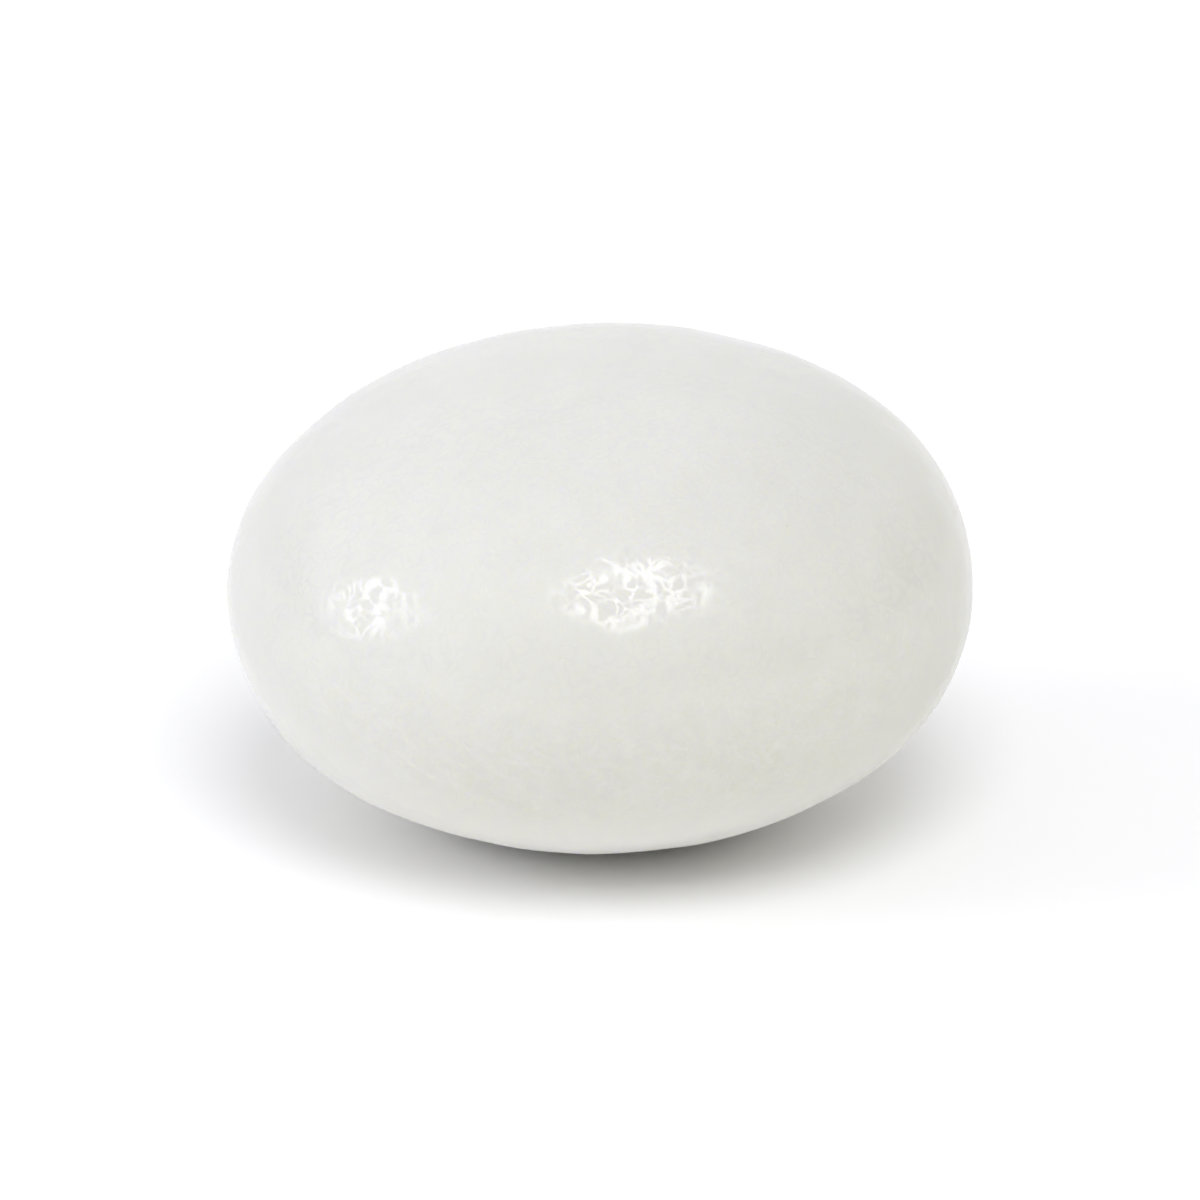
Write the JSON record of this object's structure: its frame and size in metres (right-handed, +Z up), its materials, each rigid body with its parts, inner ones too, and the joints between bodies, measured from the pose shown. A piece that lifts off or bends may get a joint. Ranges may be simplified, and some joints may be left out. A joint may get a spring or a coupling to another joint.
{
  "type": "peppermint pastille",
  "caption": "Sugar-shelled peppermint pastille, round in plan and thick at the middle like a flattened ball, with a smooth satin ivory shell.",
  "frame": {"origin": "middle of the footprint's bounding box, on the small flat spot that the pastille lies on", "axes": "+Z up through the thickness, +X along the very slightly longer diameter, to the right as the picture sees it, and +Y away from the viewer"},
  "size_m": [0.018, 0.018, 0.0118],
  "materials": {
    "sugar_shell": "satin"
  },
  "bodies": {
    "root": {"pastille": "sugar_shell"}
  },
  "joints": []
}
